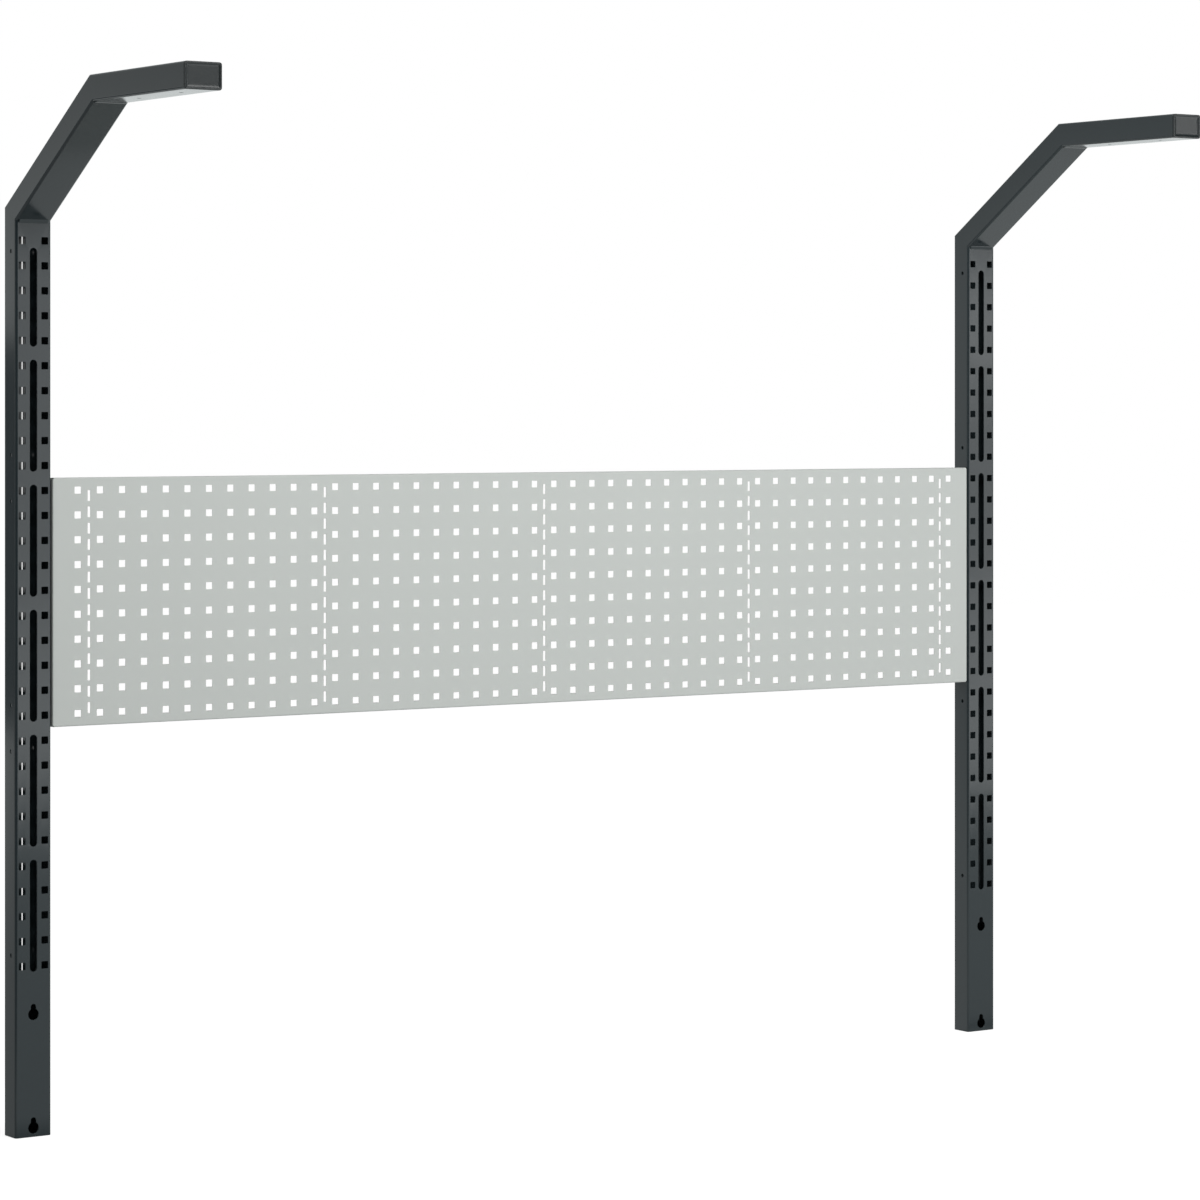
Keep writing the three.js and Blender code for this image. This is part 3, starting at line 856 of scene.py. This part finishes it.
def screw_levels(sizes, head_from):
    """Radius and height of each ring of a screw, from its tip to the rim of its socket."""
    fixing, tube = sizes.fixing, sizes.tube
    tip = -tube.wall - fixing.past_wall
    core = fixing.shank - fixing.thread_depth
    point = core * 0.6
    levels = [(point, tip), (core, tip + fixing.thread_pitch)]
    turns = int((head_from - tip) / fixing.thread_pitch) - 1
    for turn in range(1, turns):
        root = tip + (turn + 1 / 4) * fixing.thread_pitch
        levels += [
            (core, root),
            (fixing.shank, root + fixing.thread_pitch * 3 / 8),
            (fixing.shank, root + fixing.thread_pitch / 2),
        ]
    head_to = head_from + fixing.head_height
    soft = fixing.head_height * 0.3
    shoulder = soft * 0.3
    socket_rim = fixing.socket * 1.25
    return levels + [
        (fixing.shank, head_from),
        (fixing.head - tube.rim, head_from),
        (fixing.head, head_from + tube.rim),
        (fixing.head, head_to - soft),
        (fixing.head - shoulder, head_to - shoulder),
        (fixing.head - soft, head_to),
        (socket_rim, head_to),
    ]


def hexagon_ring(bm, radius, z):
    """Draws a hexagon with as many points as the circles of a screw have."""
    made = bmesh.ops.create_circle(bm, segments=6, radius=radius)
    edges = list({edge for vert in made["verts"] for edge in vert.link_edges})
    cut = bmesh.ops.subdivide_edges(bm, edges=edges, cuts=FIXING_STEPS * 4 // 6 - 1)
    return shift(bm, list({edge for edge in edges + edges_in(cut["geom"]) if edge.is_valid}), z=z)


def screw_mesh(sizes, head_from):
    fixing = sizes.fixing
    bm = bmesh.new()
    rings = stacked_circles(bm, screw_levels(sizes, head_from))
    head_to = head_from + fixing.head_height
    socket = [
        hexagon_ring(bm, fixing.socket, head_to - depth)
        for depth in (sizes.tube.rim / 2, fixing.socket_depth)
    ]
    bridge(bm, [rings[-1], *socket])
    close_ends(bm, rings[0], socket[-1])
    return bm


# Finishes


# Each slot's material, the setting that holds its colour, how metallic it is, and the values of its skin
SKINS = {
    "upright_paint": ("anthracite_powder_coat", "paint", 0, {
        "Roughness": 0.14, "Mottling": 0.06, "Gloss change": 0.04,
        "Relief scale": 620.0, "Relief depth": 0.000004,
    }),
    "panel_paint": ("light_grey_powder_coat", "panel", 0, {
        "Roughness": 0.42, "Mottling": 0.03, "Gloss change": 0.06,
        "Relief scale": 620.0, "Relief depth": 0.00003,
    }),
    "cap_plastic": ("grained_cap_plastic", "plastic", 0, {
        "Roughness": 0.3, "Mottling": 0.04, "Gloss change": 0.05,
        "Relief scale": 2600.0, "Relief depth": 0.00001,
    }),
    "fixing_zinc": ("bright_zinc_plate", "zinc", 1, {
        "Roughness": 0.3, "Mottling": 0.12, "Gloss change": 0.2,
        "Relief scale": 1800.0, "Relief depth": 0.000006,
    }),
}
SPECULAR = 0.5


def add_node(tree, kind, values=None, **options):
    """Adds a node. A value that is another node's output is linked to it, and any other is typed in."""
    node = tree.nodes.new(kind)
    for key, value in options.items():
        setattr(node, key, value)
    for key, value in (values or {}).items():
        if isinstance(value, bpy.types.NodeSocket):
            tree.links.new(value, node.inputs[key])
        else:
            node.inputs[key].default_value = value
    return node


def maths(tree, operation, *values):
    return add_node(tree, "ShaderNodeMath", dict(enumerate(values)), operation=operation).outputs[0]


def noise(tree, place, scale, detail, roughness=0.5):
    node = add_node(tree, "ShaderNodeTexNoise", {
        "Vector": place, "Scale": scale, "Detail": detail, "Roughness": roughness,
    })
    return node.outputs["Fac"]


def skin_group():
    """A node group for a sprayed, plated or moulded skin: fine relief, faint mottling and uneven gloss."""
    group = bpy.data.node_groups.get("fine_skin")
    if group:
        return group
    group = bpy.data.node_groups.new("fine_skin", "ShaderNodeTree")
    sockets = (
        ("Colour", "NodeSocketColor", (0.5, 0.5, 0.5, 1)),
        ("Roughness", "NodeSocketFloat", 0.5),
        ("Mottling", "NodeSocketFloat", 0.05),
        ("Gloss change", "NodeSocketFloat", 0.05),
        ("Relief scale", "NodeSocketFloat", 700.0),
        ("Relief depth", "NodeSocketFloat", 0.00002),
    )
    for name, kind, value in sockets:
        group.interface.new_socket(name, in_out="INPUT", socket_type=kind).default_value = value
    for name, kind in (
        ("Colour", "NodeSocketColor"), ("Roughness", "NodeSocketFloat"), ("Normal", "NodeSocketVector"),
    ):
        group.interface.new_socket(name, in_out="OUTPUT", socket_type=kind)
    given = add_node(group, "NodeGroupInput").outputs
    place = add_node(group, "ShaderNodeTexCoord").outputs["Object"]

    relief = noise(group, place, given["Relief scale"], 2.0)
    bump = add_node(group, "ShaderNodeBump", {
        "Strength": 1.0, "Distance": given["Relief depth"], "Height": relief,
    })
    clouds = noise(group, place, 7.0, 4.0, 0.6)
    specks = noise(group, place, 1500.0, 1.0)
    centred = maths(group, "SUBTRACT", maths(group, "ADD", clouds, specks), 1.0)
    tint = maths(group, "MULTIPLY_ADD", centred, given["Mottling"], 1.0)
    toned = add_node(group, "ShaderNodeVectorMath", {0: given["Colour"], "Scale": tint}, operation="SCALE")
    patches = maths(group, "SUBTRACT", noise(group, place, 28.0, 3.0), 0.5)
    gloss = maths(group, "MULTIPLY_ADD", patches, given["Gloss change"], given["Roughness"])
    add_node(group, "NodeGroupOutput", {
        "Colour": toned.outputs[0], "Roughness": gloss, "Normal": bump.outputs["Normal"],
    })
    return group


def slot_material(slot):
    """The material of a slot. Its colour, gloss and relief come from the skin group."""
    name, setting, metallic, skin = SKINS[slot]
    material = bpy.data.materials.get(name)
    if material:
        return material
    material = bpy.data.materials.new(name)
    material.use_nodes = True
    material.diffuse_color = (*getattr(settings().finish, setting), 1)
    tree = material.node_tree
    group = add_node(tree, "ShaderNodeGroup", node_tree=skin_group())
    group.inputs["Colour"].default_value = material.diffuse_color
    for key, value in skin.items():
        group.inputs[key].default_value = value
    shader = tree.nodes["Principled BSDF"]
    shader.inputs["Metallic"].default_value = metallic
    shader.inputs["Specular IOR Level"].default_value = SPECULAR
    for output, socket in (("Colour", "Base Color"), ("Roughness", "Roughness"), ("Normal", "Normal")):
        tree.links.new(group.outputs[output], shader.inputs[socket])
    return material


# Pieces


def object_from(bm, name, material):
    """Turns a bmesh into an object of one material, and links it to the scene."""
    mesh = bpy.data.meshes.new(name)
    bm.to_mesh(mesh)
    bm.free()
    mesh.materials.append(material)
    made = bpy.data.objects.new(name, mesh)
    bpy.context.scene.collection.objects.link(made)
    return made


def add_piece(bm, name, slot, *nodes):
    """Makes an object that rides with the body, takes its slot's finish and stands for its nodes."""
    bmesh.ops.remove_doubles(bm, verts=bm.verts, dist=SAME_PLACE)
    bmesh.ops.recalc_face_normals(bm, faces=bm.faces)
    piece = object_from(bm, name, slot_material(slot))
    piece.data.shade_smooth()
    piece.data.set_sharp_from_angle(angle=SHARP_ANGLE)
    even = piece.modifiers.new("Even shading", "WEIGHTED_NORMAL")
    even.keep_sharp = True
    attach(piece, BODY)
    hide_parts(*nodes)


def add_pair(bm, kind, slot):
    """Makes the left and the right piece of one kind from a mesh that stands at X = 0."""
    for label, side in SIDES:
        copy = bm.copy()
        move_all(copy, slide(side * UPRIGHT_X))
        add_piece(copy, f"{label}_{kind}", slot, f"{kind}_{label}")
    bm.free()


def add_fixings(bm, kind, sizes):
    """Makes the four fixings of one kind, turned to their end of the panel and set in their holes."""
    holes = sizes.holes
    heights = (PANEL_HIGH.z - holes.side_margin, PANEL_LOW.z + holes.side_margin)
    for label, side in SIDES:
        for level, z in zip(LEVELS, heights):
            copy = bm.copy()
            place = slide(side * (UPRIGHT_X - TUBE_WIDTH / 2), FRONT_Y + holes.side_depth, z)
            move_all(copy, place @ Matrix.Rotation(-side * QUARTER, 4, "Y"))
            add_piece(copy, f"{label}_{level}_{kind}", "fixing_zinc", f"panel_{kind}_{level}_{label}")
    bm.free()


class BuildUprights(bpy.types.Operator):
    """Build both uprights: folded steel with square holes, long slots, keyholes and side holes"""
    bl_idname = "superstructure.uprights"
    bl_label = "Uprights"

    def execute(self, context):
        add_pair(upright_mesh(settings()), "upright", "upright_paint")
        return {"FINISHED"}


class BuildSlopeTubes(bpy.types.Operator):
    """Build both sloping tubes, mitred at each end"""
    bl_idname = "superstructure.slope_tubes"
    bl_label = "Sloping tubes"

    def execute(self, context):
        add_pair(slope_mesh(settings()), "slope_tube", "upright_paint")
        return {"FINISHED"}


class BuildLampArms(bpy.types.Operator):
    """Build both level arms, with two lamp holes underneath"""
    bl_idname = "superstructure.lamp_arms"
    bl_label = "Lamp arms"

    def execute(self, context):
        add_pair(arm_mesh(settings()), "lamp_arm", "upright_paint")
        return {"FINISHED"}


class BuildEndCaps(bpy.types.Operator):
    """Build the dished plastic caps in the ends of the arms"""
    bl_idname = "superstructure.end_caps"
    bl_label = "End caps"

    def execute(self, context):
        add_pair(cap_mesh(settings()), "end_cap", "cap_plastic")
        return {"FINISHED"}


class BuildFootPlugs(bpy.types.Operator):
    """Build the flat plastic plugs in the feet of the uprights"""
    bl_idname = "superstructure.foot_plugs"
    bl_label = "Foot plugs"

    def execute(self, context):
        add_pair(plug_mesh(settings()), "foot_plug", "cap_plastic")
        return {"FINISHED"}


class BuildWelds(bpy.types.Operator):
    """Build the weld beads along the inside of the four elbows"""
    bl_idname = "superstructure.welds"
    bl_label = "Elbow welds"

    def execute(self, context):
        sizes = settings()
        tilt = sizes.tube.tilt
        lower, upper = elbows(sizes.tube)
        add_pair(weld_mesh(sizes, lower, QUARTER + tilt, pi - tilt), "lower_weld", "upright_paint")
        add_pair(weld_mesh(sizes, upper, pi, QUARTER + tilt), "upper_weld", "upright_paint")
        return {"FINISHED"}


class BuildPanel(bpy.types.Operator):
    """Build the perforated tool panel: one folded sheet with square holes and narrow slots"""
    bl_idname = "superstructure.panel"
    bl_label = "Tool panel"

    def execute(self, context):
        add_piece(panel_mesh(settings()), "tool_panel", "panel_paint", "perforated_panel")
        return {"FINISHED"}


class BuildFixings(bpy.types.Operator):
    """Build the screws, washers and spacers that hold the panel between the uprights"""
    bl_idname = "superstructure.fixings"
    bl_label = "Panel fixings"

    def execute(self, context):
        sizes = settings()
        fixing, panel = sizes.fixing, sizes.panel
        slit = UPRIGHT_X - TUBE_WIDTH / 2 - PANEL_HIGH.x
        washer_from = slit + panel.thickness + fixing.air
        washer_to = washer_from + fixing.washer_thickness
        rim = sizes.tube.rim / 2
        spacer = ring_mesh(fixing.hole, fixing.spacer, fixing.air, slit - fixing.air, rim)
        washer = ring_mesh(fixing.hole, fixing.washer, washer_from, washer_to, rim)
        add_fixings(spacer, "spacer", sizes)
        add_fixings(washer, "washer", sizes)
        add_fixings(screw_mesh(sizes, washer_to + fixing.air), "screw", sizes)
        return {"FINISHED"}


# Stage

# Fades of the painted reflections in the air and on the floor: an axis, where the fade starts and ends, and
# its values there if not 0 and 1
AIR_BEHIND = ("Y", -0.1, 0.1)
AIR_RIGHT = ("X", -0.5, 0.5, 0.85)
AIR_LOW = ("Z", 0.03, 0.08, 1.0, 0.6)
FLOOR_BEHIND = ("Y", 0.1, 0.3)
FLOOR_RIGHT = ("X", -0.4, 0.5, 0.43, 0.94)
FLOOR_FRONT = ("Y", 0.3, 0.1, 0.0, 0.8)
FLOOR_INNER = ("X", -1.8, -1.1)

WHITE = (1, 1, 1)
BLACK = (0, 0, 0)
# LIT_FLOOR and the glow keep the floor white to the camera, and the glow also gives its pale parts in
# reflections; DIM_FLOOR is the painted shade that reflections see on its dull parts
LIT_FLOOR = (0.4, 0.4, 0.4)
DIM_FLOOR = (0.08, 0.08, 0.08)
FLOOR_GLOW = 0.85
FLOOR_DROP = 0.0005

# Tone, place and half sizes of a dark card that only reflections see: a painted dark reflection on the faces
# that look to the left
CARD_TONE = (0.15, 0.17, 0.18, 1)
CARD_PLACE = (-3.35, 3.0, 0.82)
CARD_HALVES = (1.5, 0.44, 1, 1)

# Each lamp, its power's setting, its place, and its width and height. All of them aim at one point.
LAMPS = (
    ("key_lamp", "key", (-0.25, -2.0, 2.75), (1.6, 1.6)),
    ("soft_box", "soft", (2.4, -3.3, 0.81), (4.4, 1.55)),
    ("right_box", "right", (3.7, -3.3, 1.95), (0.9, 0.4)),
    ("low_box", "low", (3.85, -3.35, 1.33), (1.2, 0.3)),
    ("left_box", "left", (0.77, -3.2, 1.6), (0.9, 0.4)),
)
LAMP_AIM = Vector((0.3, 0.2, 1.1))


def bare_tree(owner):
    owner.use_nodes = True
    owner.node_tree.nodes.clear()
    return owner.node_tree


def fade(tree, coordinates, axis, start, end, low=0.0, high=1.0):
    """A mask that goes from low to high while a coordinate goes from start to end."""
    axes = add_node(tree, "ShaderNodeSeparateXYZ", {0: coordinates})
    ramp = add_node(tree, "ShaderNodeMapRange", {
        "Value": axes.outputs[axis], "From Min": start, "From Max": end, "To Min": low, "To Max": high,
    })
    return ramp.outputs["Result"]


def blend(tree, factor, first, second):
    return add_node(tree, "ShaderNodeMixShader", {0: factor, 1: first, 2: second}).outputs[0]


def glow(tree, kind, tone, strength):
    return add_node(tree, kind, {"Color": (*tone, 1), "Strength": strength}).outputs[0]


def seen_as(tree, plain, mirrored, direct):
    """Shows one shader to the light, another to reflections and a third to the camera and through glass."""
    path = add_node(tree, "ShaderNodeLightPath").outputs
    seen = maths(tree, "MAXIMUM", path["Is Camera Ray"], path["Is Transmission Ray"])
    return blend(tree, seen, blend(tree, path["Is Glossy Ray"], plain, mirrored), direct)


def build_world(stage):
    """The air of a studio, which reflections find pale behind the object and black in front of it. This is a
    painted reflection: the light that the air gives is even.
    """
    world = bpy.data.worlds.new("studio_air")
    tree = bare_tree(world)
    direction = add_node(tree, "ShaderNodeTexCoord").outputs["Generated"]
    behind, right, low = (fade(tree, direction, *values) for values in (AIR_BEHIND, AIR_RIGHT, AIR_LOW))
    pale = maths(tree, "MULTIPLY", behind, maths(tree, "MULTIPLY", right, low))
    light, black, cool, backdrop = (
        glow(tree, "ShaderNodeBackground", tone, strength)
        for tone, strength in ((WHITE, stage.ambient), (BLACK, 0), (stage.sheen, 1), (WHITE, 1))
    )
    shown = seen_as(tree, light, blend(tree, pale, black, cool), backdrop)
    add_node(tree, "ShaderNodeOutputWorld", {"Surface": shown})
    bpy.context.scene.world = world


def floor_material(stage):
    """A pale floor that looks white to the camera, and duller in reflections, most of all at the left. The
    dull parts are painted shade that only reflections show.
    """
    material = bpy.data.materials.new("pale_floor")
    tree = bare_tree(material)
    place = add_node(tree, "ShaderNodeTexCoord").outputs["Object"]
    turn = (0, 0, -stage.turn)
    turned = add_node(tree, "ShaderNodeMapping", {"Vector": place, "Rotation": turn}).outputs["Vector"]
    plain, lit, dim = (
        add_node(tree, "ShaderNodeBsdfDiffuse", {"Color": (*tone, 1)}).outputs[0]
        for tone in (stage.floor, LIT_FLOOR, DIM_FLOOR)
    )
    white, cool = (glow(tree, "ShaderNodeEmission", tone, FLOOR_GLOW) for tone in (WHITE, stage.sheen))
    behind, front, inner = (
        fade(tree, place, *values) for values in (FLOOR_BEHIND, FLOOR_FRONT, FLOOR_INNER)
    )
    behind = maths(tree, "MULTIPLY", behind, fade(tree, turned, *FLOOR_RIGHT))
    front = maths(tree, "MULTIPLY", front, inner)
    mirrored = blend(tree, maths(tree, "MAXIMUM", behind, front), dim, cool)
    direct = add_node(tree, "ShaderNodeAddShader", {0: lit, 1: white}).outputs[0]
    add_node(tree, "ShaderNodeOutputMaterial", {"Surface": seen_as(tree, plain, mirrored, direct)})
    return material


def add_sheet(name, place, material):
    """Adds a flat square with sides of 2 m, which its place may stretch."""
    bm = bmesh.new()
    bmesh.ops.create_grid(bm, x_segments=1, y_segments=1, size=1, matrix=place)
    return object_from(bm, name, material)


def build_floor(stage):
    stretch = Matrix.Diagonal((stage.extent, stage.extent, 1, 1))
    floor = add_sheet("floor", slide(z=-FLOOR_DROP) @ stretch, floor_material(stage))


def build_card():
    """A dark card behind the object at the left, which only reflections show. It paints a dark reflection on
    the faces that look to the left, and it gives no light and casts no shadow.
    """
    material = bpy.data.materials.new("dark_card")
    tree = bare_tree(material)
    shader = add_node(tree, "ShaderNodeEmission", {"Color": CARD_TONE})
    add_node(tree, "ShaderNodeOutputMaterial", {"Surface": shader.outputs[0]})
    card = add_sheet("dark_card", slide(*CARD_PLACE) @ FACE_FRONT @ Matrix.Diagonal(CARD_HALVES), material)
    card.visible_camera = card.visible_diffuse = card.visible_transmission = card.visible_shadow = False


def build_lamps(stage):
    for name, setting, place, size in LAMPS:
        data = bpy.data.lights.new(name, "AREA")
        data.shape = "RECTANGLE"
        data.size, data.size_y = size
        data.energy = getattr(stage, setting)
        lamp = bpy.data.objects.new(name, data)
        lamp.location = place
        lamp.rotation_euler = (LAMP_AIM - Vector(place)).to_track_quat("-Z", "Y").to_euler()
        lamp.visible_camera = False
        bpy.context.scene.collection.objects.link(lamp)


def build_camera(stage):
    data = bpy.data.cameras.new("camera")
    data.sensor_fit = "HORIZONTAL"
    data.lens = stage.lens
    data.shift_y = stage.shift
    camera = bpy.data.objects.new("camera", data)
    camera.location = stage.sight
    camera.rotation_euler = (QUARTER, 0, -stage.turn)
    bpy.context.scene.collection.objects.link(camera)
    bpy.context.scene.camera = camera


class BuildStage(bpy.types.Operator):
    """Set up the camera, the pale floor, the even light and the lamps"""
    bl_idname = "superstructure.stage"
    bl_label = "Stage"

    def execute(self, context):
        stage = settings().stage
        context.scene.view_settings.view_transform = "Standard"
        build_camera(stage)
        build_world(stage)
        build_floor(stage)
        build_card()
        build_lamps(stage)
        return {"FINISHED"}


class SuperstructurePanel(bpy.types.Panel):
    """Lists the steps that build the superstructure, and its colours"""
    bl_idname = "VIEW3D_PT_superstructure"
    bl_label = "Superstructure"
    bl_space_type = "VIEW_3D"
    bl_region_type = "UI"
    bl_category = "Superstructure"

    def draw(self, context):
        for operator in OPERATORS:
            self.layout.operator(operator.bl_idname)
        for name in ("paint", "panel", "plastic", "zinc"):
            self.layout.prop(context.scene.superstructure.finish, name)


OPERATORS = (
    BuildStage, BuildUprights, BuildSlopeTubes, BuildLampArms, BuildEndCaps, BuildFootPlugs, BuildWelds,
    BuildPanel, BuildFixings,
)
PROPERTY_GROUPS = (
    TubeSizes, HoleSizes, KeyholeSizes, PanelSizes, CapSizes, PlugSizes, WeldSizes, FixingSizes, Finishes,
    StageSizes, Superstructure,
)
CLASSES = PROPERTY_GROUPS + OPERATORS + (SuperstructurePanel,)


def register():
    for cls in CLASSES:
        bpy.utils.register_class(cls)
    bpy.types.Scene.superstructure = PointerProperty(type=Superstructure)


def unregister():
    del bpy.types.Scene.superstructure
    for cls in reversed(CLASSES):
        bpy.utils.unregister_class(cls)


def main():
    register()
    bpy.ops.superstructure.stage()
    bpy.ops.superstructure.uprights()
    bpy.ops.superstructure.slope_tubes()
    bpy.ops.superstructure.lamp_arms()
    bpy.ops.superstructure.end_caps()
    bpy.ops.superstructure.foot_plugs()
    bpy.ops.superstructure.welds()
    bpy.ops.superstructure.panel()
    bpy.ops.superstructure.fixings()


if __name__ == "__main__":
    main()
